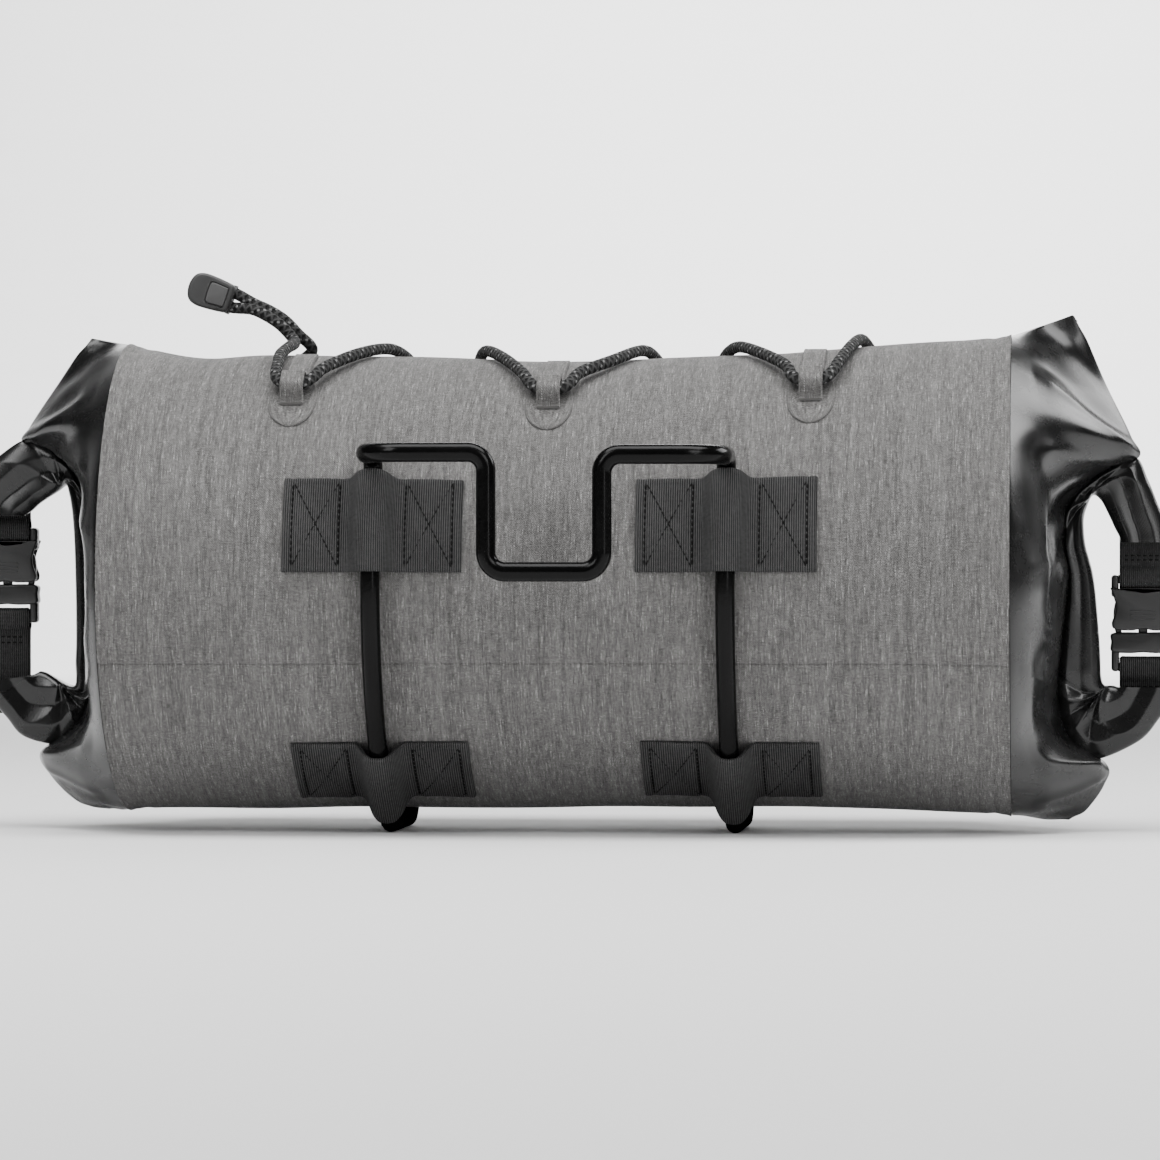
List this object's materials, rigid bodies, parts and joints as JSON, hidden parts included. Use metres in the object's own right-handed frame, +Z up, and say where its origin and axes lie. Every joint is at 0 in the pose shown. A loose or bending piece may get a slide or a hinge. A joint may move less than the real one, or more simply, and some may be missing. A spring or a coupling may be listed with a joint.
{
  "type": "bicycle handlebar bag",
  "caption": "Roll-shaped bicycle handlebar bag of grey cloth with rolled black ends, a bungee lace and a bent rod frame that hooks over the bar.",
  "frame": {"origin": "on the floor under the middle of the whole bag's box, as it stands on the frame's two straight lower runs", "axes": "+X along the bag to its right-hand end as seen from the handlebar side, +Y forwards away from the handlebar, +Z up"},
  "size_m": [0.5206, 0.2346, 0.2419],
  "materials": {
    "grey_fabric": "matte",
    "black_coated_fabric": "satin",
    "dark_webbing": "matte",
    "black_rod": "gloss",
    "black_plastic": "satin",
    "grey_plastic": "matte",
    "charcoal_cord": "matte",
    "grey_lace_fabric": "matte"
  },
  "bodies": {
    "root": {"body_tube": "grey_fabric", "buckle_plug_left": "black_plastic", "buckle_plug_right": "black_plastic", "buckle_socket_left": "black_plastic", "buckle_socket_right": "black_plastic", "bungee_cord": "charcoal_cord", "carrier_frame": "black_rod", "cord_end": "grey_plastic", "cord_end_panel": "grey_plastic", "end_cap_left": "black_coated_fabric", "end_cap_right": "black_coated_fabric", "lace_loop_back_1": "grey_lace_fabric", "lace_loop_back_2": "grey_lace_fabric", "lace_loop_back_3": "grey_lace_fabric", "lace_loop_back_4": "grey_lace_fabric", "lace_loop_front_1": "grey_lace_fabric", "lace_loop_front_2": "grey_lace_fabric", "lace_loop_front_3": "grey_lace_fabric", "lace_patch_back_1": "grey_lace_fabric", "lace_patch_back_2": "grey_lace_fabric", "lace_patch_back_3": "grey_lace_fabric", "lace_patch_back_4": "grey_lace_fabric", "lace_patch_front_1": "grey_lace_fabric", "lace_patch_front_2": "grey_lace_fabric", "lace_patch_front_3": "grey_lace_fabric", "mount_loop_lower_left": "dark_webbing", "mount_loop_lower_right": "dark_webbing", "mount_loop_upper_left": "dark_webbing", "mount_loop_upper_right": "dark_webbing", "roll_left": "black_coated_fabric", "roll_right": "black_coated_fabric", "strap_lower_left": "dark_webbing", "strap_lower_right": "dark_webbing", "strap_upper_left": "dark_webbing", "strap_upper_right": "dark_webbing"}
  },
  "joints": []
}
